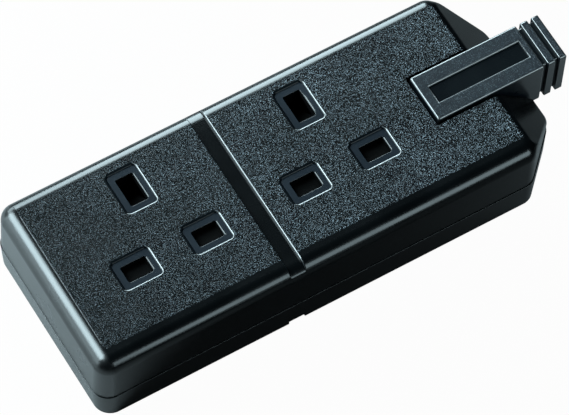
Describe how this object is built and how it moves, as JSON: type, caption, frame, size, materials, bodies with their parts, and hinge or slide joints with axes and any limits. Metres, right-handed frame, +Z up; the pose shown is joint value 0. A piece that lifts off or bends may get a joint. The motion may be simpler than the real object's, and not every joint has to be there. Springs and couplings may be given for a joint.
{
  "type": "trailing socket",
  "caption": "Low black trailing socket with framed slots for flat three-pin plugs, sliding shutters inside, a chamfered end and a ribbed sleeve where the cord goes in.",
  "frame": {"origin": "under the middle of the whole length and width, on the surface the socket lies on", "axes": "+X along the housing to the cable end, +Y to the earth-slot side, +Z up out of the slots"},
  "size_m": [0.1624, 0.06, 0.0283],
  "materials": {
    "housing_plastic": "fine grain on the top panels, satin elsewhere",
    "sleeve_plastic": "satin, soft",
    "shutter_plastic": "satin",
    "retainer_plastic": "satin",
    "brass": "plain stamped",
    "plated_steel": "zinc plated",
    "spring_steel": "drawn wire"
  },
  "bodies": {
    "housing": {"top_cover": "housing_plastic", "base_cover": "housing_plastic", "cable_sleeve": "sleeve_plastic", "cover_screws": "plated_steel", "shutter_spring_left": "spring_steel", "shutter_spring_right": "spring_steel", "shutter_retainer_left": "retainer_plastic", "shutter_retainer_right": "retainer_plastic", "live_busbar": "brass", "neutral_busbar": "brass", "earth_busbar": "brass", "live_terminal": "brass", "neutral_terminal": "brass", "earth_terminal": "brass", "terminal_screws": "plated_steel", "cord_clamp": "shutter_plastic", "cord_clamp_screws": "plated_steel"},
    "left_shutter": {"shutter_left": "shutter_plastic"},
    "right_shutter": {"shutter_right": "shutter_plastic"}
  },
  "joints": [
    {"name": "left_shutter_slide", "type": "slide", "parent": "housing", "child": "left_shutter", "axis": [0, -1, 0], "range_m": [0, 0.0064], "stiffness_N_per_m": 120, "springref_m": -0.004, "deforming": ["shutter_spring_left"]},
    {"name": "right_shutter_slide", "type": "slide", "parent": "housing", "child": "right_shutter", "axis": [0, -1, 0], "range_m": [0, 0.0064], "stiffness_N_per_m": 120, "springref_m": -0.004, "deforming": ["shutter_spring_right"]}
  ]
}
